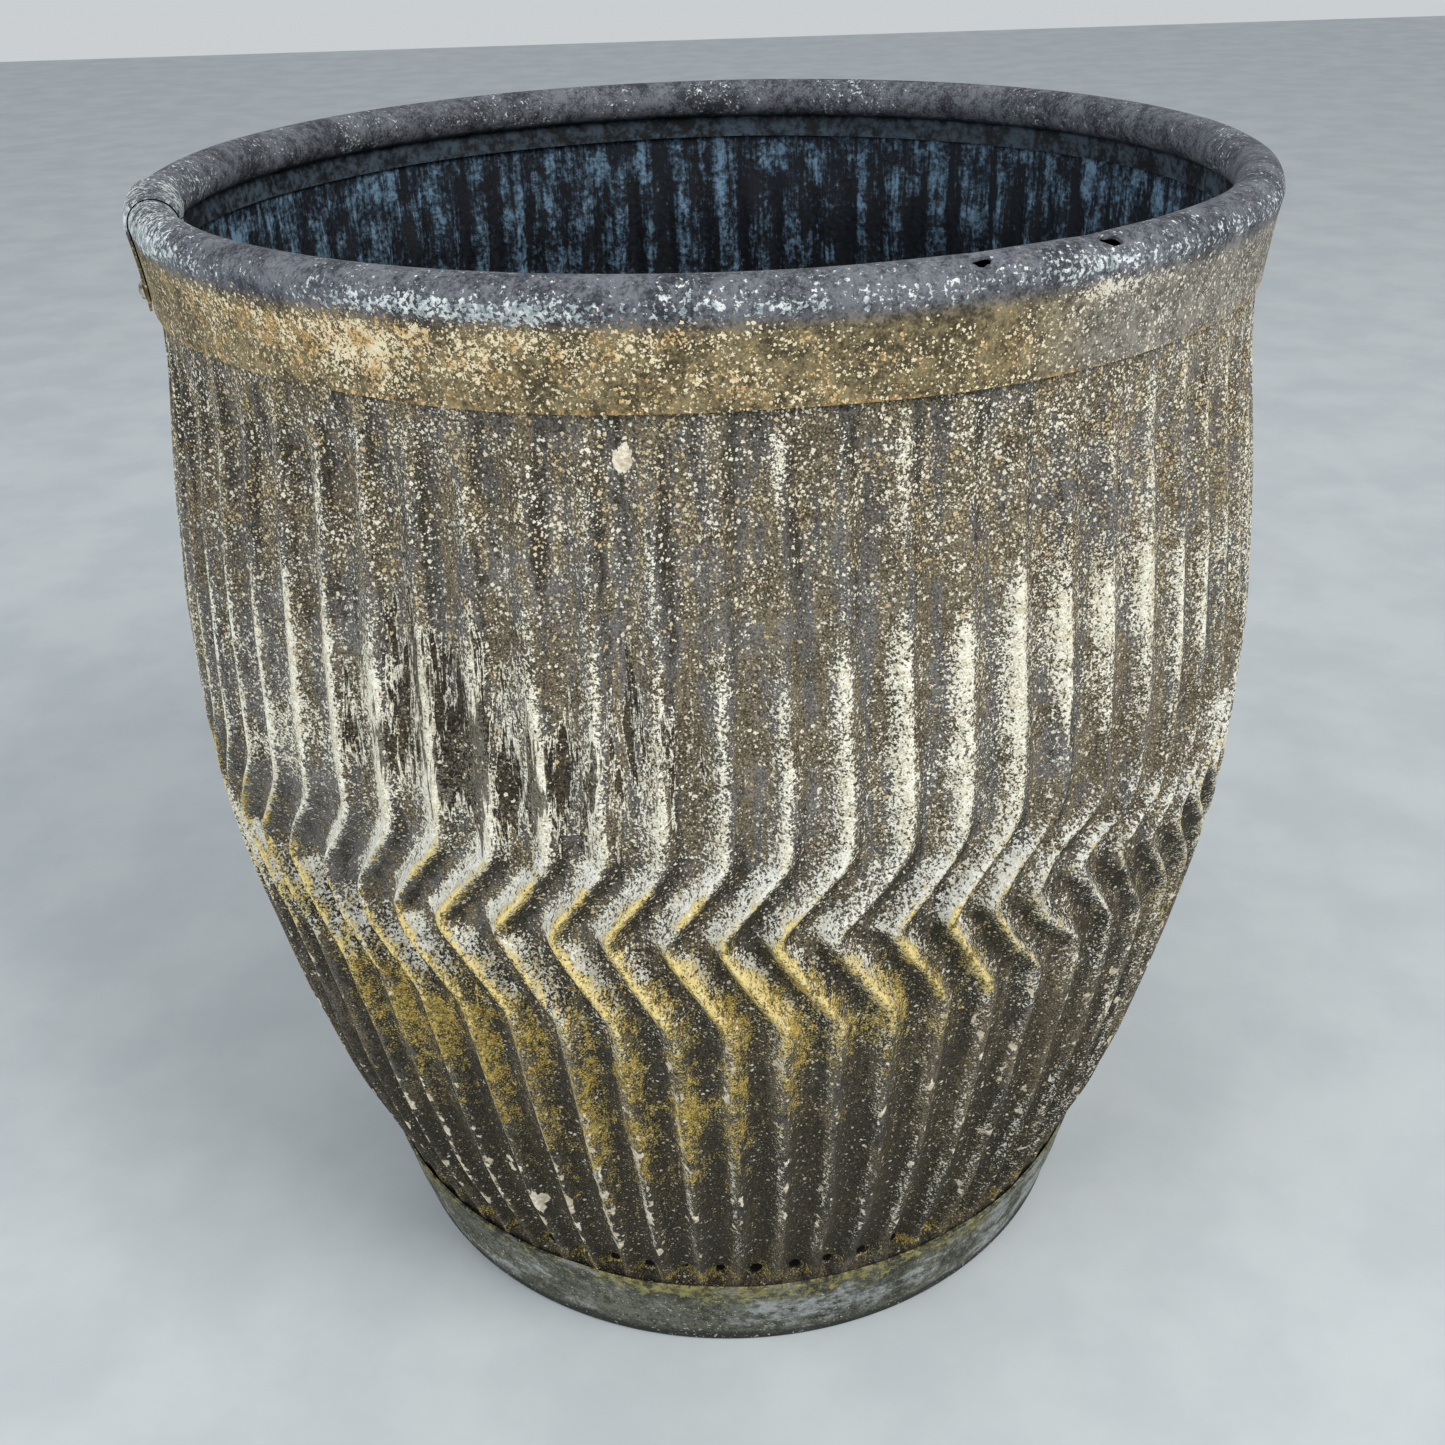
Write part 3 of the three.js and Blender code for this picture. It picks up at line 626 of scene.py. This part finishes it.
def wall_patina_and_light(azimuth, z, rib, offset, sunny):
    """How much chalk, lichen, grime and flecks there is, from 0 to 1, and how much of the crust peels, which
    is above 1 in the weep pits, to paint their shade near-black. The chalk also holds painted highlights and
    painted light, and the grime holds painted shade and shadow."""
    level = z * 0
    from_front = around(azimuth, FRONT)
    broad = drift(azimuth, z, 14, 0.10, 31)
    fine = drift(azimuth, z, 140, 0.028, 32)
    broken = drift(azimuth, z, 140, 0.011, 35)
    patchy = drift(azimuth, z, 110, 0.022, 39)
    start = 0.024 * drift(azimuth, level, 70, 1, 37)
    high = ease(z, 0.452 + start, 0.394 + start)
    low = ease(z, 0.245, 0.215)
    bend = peak(z, ZIGZAG_MIDDLE, 0.034)
    # lit is the left flank of each rib: the chalk heaped there is partly chalk, partly a painted highlight on
    # that flank
    lit = ease(offset, -0.46, -0.05) * ease(offset, 0.12, 0.02)
    crest = peak(offset, -0.02, 0.095 + 0.03 * fine)
    # left marks where the painted shade is weaker, to lighten the side the lamps leave darker
    left = ease(from_front, -28, -44) * ease(z, 0.262, 0.290)

    amount = 0.34 + 0.16 * broad + blots(azimuth, z, CHALKY)
    flank = 0.25 + (0.78 + 0.40 * patchy) * lit + 0.20 * broken
    line = (0.15 + 0.14 * fine + 0.12 * broken) * crest
    chalk_and_highlight = high * (1 - low) * (1 - 0.72 * bend) * (amount * flank + line)
    # At the zigzag: powder and painted light on faces turned up, painted shade as less chalk on faces turned
    # down, and a white line on each crest that is partly painted highlight
    powder_and_light = 0.50 - 0.14 * ease(from_front, 8, 36) + 0.38 * ease(from_front, -4, -26)
    powder_and_light = bend * (powder_and_light + 0.14 * broad + 0.40 * broken + 0.20 * patchy) * ease(sunny, -0.08, 0.36)
    chalk_and_highlight = chalk_and_highlight * (1 - (0.75 - 0.50 * left) * bend * ease(sunny, 0.10, -0.25))
    chalk_and_highlight = chalk_and_highlight + powder_and_light + (0.58 + 0.3 * broken) * bend * crest
    chalk_and_highlight = chalk_and_highlight * (1 - 0.45 * blots(azimuth, z, LESS_CHALKY))
    # Painted highlight: a pale line along each crest on the upper wall, to show the flutes' shading
    chalk_and_highlight += (0.30 + 0.25 * fine + 0.15 * broken) * crest * ease(z, 0.488, 0.475) * ease(z, 0.42, 0.45)
    edge = 0.30 + 0.22 * fine + 0.20 * broken + 0.40 * ease(np.abs(around(azimuth, 240)), 26, 8)
    chalk_and_highlight += low * ease(z, 0.06, 0.09) * peak(offset, -0.11, 0.07) * edge
    chalk_and_highlight += 0.07 + 0.05 * fine
    most = 0.89 - 0.08 * bend
    chalk_and_highlight = most * np.tanh(chalk_and_highlight / most)

    flank = ease(offset, -0.36, 0.02) * ease(offset, 0.50, 0.24)
    lichen = blots(azimuth, z, MOSSY) * (0.42 + 0.62 * flank + 0.30 * fine) + 0.04 + 0.06 * broad
    beside = peak(offset, 0.005, 0.12) * ease(z, 0.345, 0.325)
    outline = 0.56 - 0.34 * ease(from_front, 18, 34) + 0.3 * broken + 0.34 * drift(azimuth, z, 50, 0.03, 38)
    lichen += bend * beside * outline
    on_top = peak(offset, -0.03, 0.11) * peak(z, 0.303, 0.013)
    lichen += on_top * (0.52 + 0.3 * broken) * ease(np.abs(around(azimuth, 255)), 20, 9)
    by_pits = 0.14 * np.sqrt(weep_pits(offset, z)) + 0.34 * peak(z, WEEP_HEIGHT, 0.006)
    lichen += by_pits + 0.26 * peak(z, 0.4845, 0.0025)

    # Grime and painted shade: dirt, darker towards the bottom, with painted shade in the flute valleys and, at
    # the zigzag, on faces turned down
    grime_and_shade = 0.12 + 0.18 * ease(z, 0.30, 0.24) + 0.20 * ease(z, 0.22, 0.12) + 0.10 * broad
    shaded = (0.34 - 0.26 * left) * ease(z, 0.34, 0.31) * ease(sunny, 0.05, -0.45)
    grime_and_shade += 0.30 * (ease(z, 0.34, 0.29) * 0.8 + 0.2) * (1 - rib) + shaded
    # Painted shadow: a dark line down the right side of each rib, up to the rim band
    grime_and_shade += 0.36 * peak(offset, 0.20, 0.10) * ease(z, 0.489, 0.470) * ease(z, 0.24, 0.27)
    grime_and_shade += 0.22 * ease(z, 0.40, 0.46) * ease(around(azimuth, 300), 14, -10)
    grime_and_shade += blots(azimuth, z, GRIMY_AND_SHADED) - 0.30 * ease(z, 0.062, 0.045)
    # Painted light: less darkening left of the front, to lighten the side the lamps leave darker
    grime_and_shade -= 0.26 * ease(from_front, -24, -40) * ease(z, 0.25, 0.29) * ease(z, 0.42, 0.38)

    flecks = 0.18 + 0.42 * ease(z, 0.385, 0.450) + 0.12 * broad - 0.14 * ease(z, 0.29, 0.20)
    flecks += blots(azimuth, z, FLECKED)
    peel_and_pit_shade = blots(azimuth, z, PEELING)
    # The pits' value paints their shade: near-black over a shallow dent
    pits = weep_pits(offset, z) * (0.90 + 0.40 * drift(azimuth, level, 70, 1, 36))
    return np.clip(np.stack([chalk_and_highlight, lichen, grime_and_shade, flecks], -1), 0, 1), np.clip(peel_and_pit_shade, 0, 1) + 2.2 * pits


def wall_chips(azimuth, z, offset):
    """How near it is to a cream scab: one under the rim band, two low down, and the left sides of low ribs."""
    beside = ease(np.abs(offset + 0.08), 0.29, 0.13) * ease(z, 0.27, 0.23) * ease(z, 0.06, 0.08)
    more = 0.20 * ease(np.abs(around(azimuth, 243)), 24, 12) * ease(z, 0.21, 0.15)
    return np.clip(blots(azimuth, z, SCABBED) + beside * (0.58 + more), 0, 1.3)


def facing(points, azimuth):
    """How much the surface faces up and to the left, from -1 to 1, apart from the barrel's own slope."""
    normal = np.cross(np.gradient(points, axis=1), np.gradient(points, axis=0))
    normal /= np.linalg.norm(normal, axis=-1, keepdims=True)
    left = normal[..., 0] * np.sin(azimuth) - normal[..., 1] * np.cos(azimuth)
    upward = normal[..., 2] - normal[..., 2].mean(axis=1, keepdims=True)
    return np.clip(1.6 * upward + 0.25 * left, -1, 1)


def wall_rows():
    """The heights of the wall's rows of points, closest at the weep pits and the zigzag."""
    return np.concatenate([
        np.linspace(WALL_BOTTOM, 0.028, 3), np.linspace(0.036, 0.046, 3), np.linspace(0.0485, 0.0635, 9),
        np.linspace(0.069, 0.228, 26), np.linspace(0.231, 0.334, 42), np.linspace(0.339, 0.478, 26),
        np.linspace(0.482, WALL_TOP, 5),
    ])


def wall_panel(name, first_crest, laps_under):
    """Half of the wall and one flute, from the crest at azimuth first_crest. laps_under sets its ends back
    behind the other panel's."""
    pitches = FLUTES // 2 + 1
    half = np.array([0, 0.045, 0.10, 0.17, 0.26, 0.375])  # from a crest, in pitches
    cycle = np.concatenate([half, [0.5], 1 - half[:0:-1]])
    along = np.append((np.arange(pitches)[:, None] + cycle).ravel(), pitches)
    azimuth, z = np.meshgrid(first_crest + along * PITCH, wall_rows())
    along = np.broadcast_to(along, azimuth.shape)
    swung = azimuth + zigzag(azimuth, z)
    radius, rib, offset = flutes(swung, z)
    if laps_under:
        inset = ease(along, 1.3, 1.0) + ease(along, pitches - 1.3, pitches - 1)
        radius = radius - LAP * inset
    outer = on_tub(radius, swung, z)
    sunny = facing(outer, swung)
    patina, peel_and_pit_shade = wall_patina_and_light(swung, z, rib, offset, sunny)
    fields = {
        "sheet": np.stack([swung * ARC_RADIUS, z, 0 * z], -1),
        "rib": rib * ease(z, 0.488, 0.470),
        "sunny": sunny,
        "peel_and_pit_shade": peel_and_pit_shade,
        "chips": wall_chips(swung, z, offset),
        "patina": patina,
    }
    return skin(name, outer, on_tub(radius - SHEET, swung, z), fields, [WALL_OUT, WALL_IN])


front = wall_panel("fluted_wall_front", math.pi - PITCH / 2, False)
finish_piece(front, "wall_steel", "wall_panel_front")
back = wall_panel("fluted_wall_back", -PITCH / 2, True)
finish_piece(back, "wall_steel", "wall_panel_back")


def sheet_offset(outline, distance):
    """Moves an outline of (radius, z) points to its right by distance, which may differ at each point."""
    run = np.gradient(outline, axis=-2)
    run = run / np.linalg.norm(run, axis=-1, keepdims=True)
    return outline + np.stack([run[..., 1], -run[..., 0]], -1) * np.asarray(distance)[..., None]


LAP_START, LAP_PITCHES = 37, 2  # in pitches, where the rim band's lap is and how long
ROLL_ROWS, LEG_ROWS = 34, 7


def rim_outline():
    """(radius, z) up the skirt, over the roll and down the leg inside the wall, and how much it is a bead."""
    centre = np.array([RIM_RADIUS - BEAD_RADIUS, TOP - BEAD_RADIUS])
    leg = WALL_TOP_RADIUS - 2 * SHEET - LAP - GAP
    edge_z = np.linspace(SKIRT_BOTTOM, SKIRT_BOTTOM + 0.002, 3)
    skirt_z = np.concatenate([edge_z, np.linspace(SKIRT_BOTTOM + 0.004, centre[1] - 0.002, 15)])
    share = (skirt_z - SKIRT_BOTTOM) / (centre[1] - SKIRT_BOTTOM)
    skirt_radius = SKIRT_RADIUS + (RIM_RADIUS - SKIRT_RADIUS) * (0.35 * share + 0.65 * share**2)
    end = 1.5 * math.pi + math.asin((leg - centre[0]) / BEAD_RADIUS)
    angles = np.linspace(0, end - 0.05, ROLL_ROWS)
    roll = centre + BEAD_RADIUS * np.stack([np.cos(angles), np.sin(angles)], -1)
    hem_z = np.linspace(TOP - 2 * BEAD_RADIUS - 0.0004, LEG_BOTTOM, LEG_ROWS)
    hem = np.stack([np.full(LEG_ROWS, leg), hem_z], -1)
    outline = np.concatenate([np.stack([skirt_radius, skirt_z], -1), roll, hem])
    bead = np.concatenate([ease(skirt_z, 0.512, 0.520), np.ones(ROLL_ROWS + LEG_ROWS)])
    return outline, bead


HOLE_RADIUS = 0.2342  # of the circle that the holes lie on
RUST_HOLES = [  # azimuth, half length, half width, tilt
    (291.5, 0.0038, 0.0026, 0.35), (304.0, 0.0044, 0.0031, -0.5),
]
CRUSTY = [
    (250, 0.518, 13, 0.0045, 0.34), (300, 0.523, 8, 0.004, 0.22), (316, 0.518, 9, 0.010, 0.14),
    (276, 0.521, 3, 0.004, 0.25), (200, 0.524, 16, 0.012, 0.40),
]
GOLDEN = [(232, 0.508, 12, 0.010, 0.34), (248, 0.504, 14, 0.010, 0.10)]
BARE = [(284, 0.512, 9, 0.009, 1.0), (293, 0.515, 6, 0.007, 0.7)]
RIM_FLECKED = [
    (241, 0.505, 15, 0.013, 0.34), (262, 0.514, 16, 0.006, 0.12), (276, 0.510, 8, 0.008, 0.08),
    (304, 0.5155, 7, 0.004, 0.62), (222, 0.514, 9, 0.006, 0.30),
]


def rim_band(per_flute=11):
    """A band whose ends lap, with two ragged holes rusted through the top of its bead."""
    outline, bead = rim_outline()
    centre_radius, centre_z = RIM_RADIUS - BEAD_RADIUS, TOP - BEAD_RADIUS
    along = np.linspace(0, FLUTES + LAP_PITCHES, (FLUTES + LAP_PITCHES) * per_flute + 1)
    azimuth, _ = np.meshgrid((LAP_START + along) * PITCH, outline[:, 0])
    lift = np.broadcast_to(LAP * ease(along, FLUTES - 0.35, FLUTES - 0.05), azimuth.shape)
    shape = np.broadcast_to(outline[:, None, :], (*azimuth.shape, 2)).copy()
    z = shape[..., 1]

    kept = np.ones((azimuth.shape[0] - 1, azimuth.shape[1] - 1), bool)
    sink = np.zeros_like(z)
    random = np.random.default_rng(62)
    for centre, half_long, half_wide, tilt in RUST_HOLES:
        across = np.radians(around(azimuth, centre)) * HOLE_RADIUS
        out_from = shape[..., 0] - HOLE_RADIUS
        skewed = across + tilt * out_from
        never = 10.0 * (z < centre_z)
        far = np.hypot(skewed / half_long, out_from / half_wide) + never
        inside = far < 1.15
        lost = inside[:-1, :-1] & inside[1:, :-1] & inside[:-1, 1:] & inside[1:, 1:]
        kept &= ~lost
        beside_lost = np.zeros_like(inside)
        for rows in (slice(0, -1), slice(1, None)):
            for columns in (slice(0, -1), slice(1, None)):
                beside_lost[rows, columns] |= lost
        grow = np.where(beside_lost & (far > 0.3), random.uniform(0.88, 1.12, far.shape) / far, 1.0)
        azimuth = azimuth + across * (grow - 1) / HOLE_RADIUS
        widest = BEAD_RADIUS - 1e-4
        moved = np.clip(HOLE_RADIUS + out_from * grow - centre_radius, -widest, widest)
        on_roll = centre_z + np.sqrt(BEAD_RADIUS**2 - moved**2)
        changed = grow != 1
        shape[..., 0] = np.where(changed, moved + centre_radius, shape[..., 0])
        shape[..., 1] = np.where(changed, on_roll, shape[..., 1])
        sink += 0.0014 * np.exp(-((far / 1.9) ** 2))

    one = np.ones(len(outline))
    normal = np.stack([sheet_offset(column, one) - column for column in shape.swapaxes(0, 1)], 1)
    wobble = 0.0006 * drift(azimuth, z * 0, 13, 1, 41) + 0.0004 * drift(azimuth, z, 44, 0.02, 42)
    shape[..., 0] += wobble * ease(z, 0.490, 0.500)
    shape[..., 1] += 0.0007 * drift(azimuth, z * 0, 17, 1, 43) * ease(z, 0.505, 0.495)
    out = shape + normal * (lift - sink)[..., None]
    inn = shape + normal * (lift - sink - SHEET)[..., None]

    on_bead = bead[:, None]
    outer_side = shape[..., 0] > 0.2310
    crust = 0.14 + 0.16 * drift(azimuth, z, 60, 0.02, 44) + 0.20 * peak(z, 0.522, 0.005) * outer_side
    crust += blots(azimuth, z, CRUSTY)
    crust = crust * on_bead - 0.1 * (1 - on_bead)
    gold = 0.04 + blots(azimuth, z, GOLDEN)
    gold += 0.12 * drift(azimuth, z, 50, 0.02, 45) + 0.45 * peak(z, SKIRT_BOTTOM, 0.0016)
    gold = gold * (1 - on_bead)
    bare = blots(azimuth, z, BARE)
    flecks = 0.40 + 0.10 * drift(azimuth, z, 18, 0.04, 46) - 0.55 * on_bead - 0.30 * bare
    flecks += blots(azimuth, z, RIM_FLECKED)
    grey = ease(around(azimuth, 299), -6, 6) * ease(around(azimuth, 345), 10, -10)
    # The hem colour fades in over the roll's inner side, partly painted shade inside the tub
    fade = np.linspace(0.4, 1, 5)
    hem = np.concatenate([np.zeros(len(bead) - len(fade) - LEG_ROWS), fade, np.ones(LEG_ROWS)])
    fields = {
        "bead": np.broadcast_to(on_bead, azimuth.shape),
        "hem": np.broadcast_to(hem[:, None], azimuth.shape),
        "grey": grey,
        "patina": np.clip(np.stack([crust, gold, bare, flecks], -1), -0.4, 1),
    }
    return skin("rim_band_rolled", turned(out, azimuth), turned(inn, azimuth), fields, [RIM], kept=kept)


rim = rim_band()
finish_piece(rim, "rim_steel", "rim_band")


SMEARED = [(285, 0.022, 15, 0.012, 0.50), (254, 0.025, 20, 0.020, -0.28)]


def foot_band(columns=560):
    """A hoop that widens upwards and stands on a lip turned in under the base."""
    lip = FOOT_BOTTOM_RADIUS - FOOT_LIP
    z = np.concatenate([
        np.linspace(0.0015, 0.004, 4), np.linspace(0.007, FOOT_TOP - 0.003, 15),
        np.linspace(FOOT_TOP - 0.0015, FOOT_TOP, 3),
    ])
    share = z / FOOT_TOP
    wall = np.stack([FOOT_BOTTOM_RADIUS + (FOOT_TOP_RADIUS - FOOT_BOTTOM_RADIUS) * share, z], -1)
    corner = np.array([
        [lip, 0], [lip + 0.005, 0], [FOOT_BOTTOM_RADIUS - 0.0012, 0], [FOOT_BOTTOM_RADIUS - 0.0003, 0.0004],
    ])
    outline = np.concatenate([corner, wall])
    azimuth, _ = np.meshgrid(np.arange(columns) / columns * TURN, outline[:, 0])
    shape = np.broadcast_to(outline[:, None, :], (*azimuth.shape, 2)).copy()
    height = shape[..., 1]
    wobble = 0.0006 * drift(azimuth, height, 21, 0.03, 51) + 0.0003 * drift(azimuth, height, 70, 0.012, 52)
    shape[..., 0] += wobble * ease(height, 0.001, 0.012)
    inward = np.full(len(outline), -SHEET)
    inn = np.stack([sheet_offset(column, inward) for column in shape.swapaxes(0, 1)], 1)
    smears = 0.30 + 0.25 * drift(azimuth, height, 16, 0.03, 53) + blots(azimuth, height, SMEARED)
    lichen = 0.08 + 0.42 * ease(height, 0.034, 0.044) + 0.20 * drift(azimuth, height, 40, 0.02, 54)
    # Darker towards the bottom edge
    bottom_dark = 0.12 + ease(height, 0.012, 0.001) * 0.9 + 0.20 * drift(azimuth, height, 30, 0.02, 55)
    flecks = 0.10 + 0.1 * drift(azimuth, height, 30, 0.02, 56)
    fields = {
        "sheet": np.stack([azimuth * FOOT_TOP_RADIUS, height, 0 * height], -1),
        "patina": np.clip(np.stack([smears, lichen, bottom_dark, flecks], -1), 0, 1),
    }
    return skin("foot_band_hoop", turned(shape, azimuth), turned(inn, azimuth), fields, [FOOT], wraps=True)


foot = foot_band()
finish_piece(foot, "foot_steel", "foot_band")

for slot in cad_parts["base_plate"].material_slots:
    slot.material = BASE
for name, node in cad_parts.items():
    if "rivet" in name:
        for slot in node.material_slots:
            slot.material = RIVET

# ---- floor, light and camera -----------------------------------------------------------------


def floor(half=6.0):
    """A plain pale floor, half metres from its middle to its edges."""
    mesh = bpy.data.meshes.new("floor")
    corners = [(-half, -half, 0), (half, -half, 0), (half, half, 0), (-half, half, 0)]
    mesh.from_pydata(corners, [], [(0, 1, 2, 3)])
    plane = bpy.data.objects.new("floor", mesh)
    bpy.context.scene.collection.objects.link(plane)
    p = Paint("floor_pale", specular=0.2)
    mottle = p.noise(9, 5, 0.6)
    colour = p.mix(p.step(mottle, 0.35, 0.65), tone(182, 189, 193), tone(192, 198, 201))
    mesh.materials.append(p.finish(colour, 0.85, p.times(mottle, 0.0002), 0.2))


def area_light(name, place, target, size, power, colour):
    """A round lamp, size metres across, that faces target."""
    light = bpy.data.lights.new(name, "AREA")
    light.shape, light.size, light.energy, light.color = "DISK", size, power, colour
    lamp = bpy.data.objects.new(name, light)
    bpy.context.scene.collection.objects.link(lamp)
    away = Vector(place) - Vector(target)
    lamp.matrix_world = Matrix.Translation(place) @ away.to_track_quat("Z", "Y").to_matrix().to_4x4()


CAMERA_PLACE = (0, -0.7095, 0.641)
CAMERA_PITCH, CAMERA_ROLL = 0.5087, -0.032  # down, and about its own line of sight, in radians
LENS, SENSOR_WIDTH = 38.8, 36  # in mm


def camera():
    """The camera stands before the tub and looks down into it."""
    forward = Vector((0, math.cos(CAMERA_PITCH), -math.sin(CAMERA_PITCH)))
    right = Vector((1, 0, 0))
    up = right.cross(forward)
    tilted_right = math.cos(CAMERA_ROLL) * right + math.sin(CAMERA_ROLL) * up
    tilted_up = math.cos(CAMERA_ROLL) * up - math.sin(CAMERA_ROLL) * right
    data = bpy.data.cameras.new("camera")
    data.lens, data.sensor_width, data.clip_end = LENS, SENSOR_WIDTH, 50
    holder = bpy.data.objects.new("camera", data)
    turn = Matrix((tilted_right, tilted_up, -forward)).transposed().to_4x4()
    holder.matrix_world = Matrix.Translation(CAMERA_PLACE) @ turn
    bpy.context.scene.collection.objects.link(holder)
    bpy.context.scene.camera = holder


floor()
camera()
area_light("key", (1.7, -1.5, 2.3), (0, 0, 0.3), size=1.5, power=66, colour=(1.0, 0.98, 0.94))
area_light("fill", (-2.2, -1.6, 1.6), (0, 0, 0.25), size=2.2, power=40, colour=(0.98, 0.99, 1.0))
world = bpy.data.worlds.new("studio")
world.use_nodes = True
background = world.node_tree.nodes["Background"]
background.inputs["Color"].default_value = (0.93, 0.97, 1.0, 1)
background.inputs["Strength"].default_value = 0.64
bpy.context.scene.world = world
bpy.context.scene.view_settings.view_transform = "Standard"
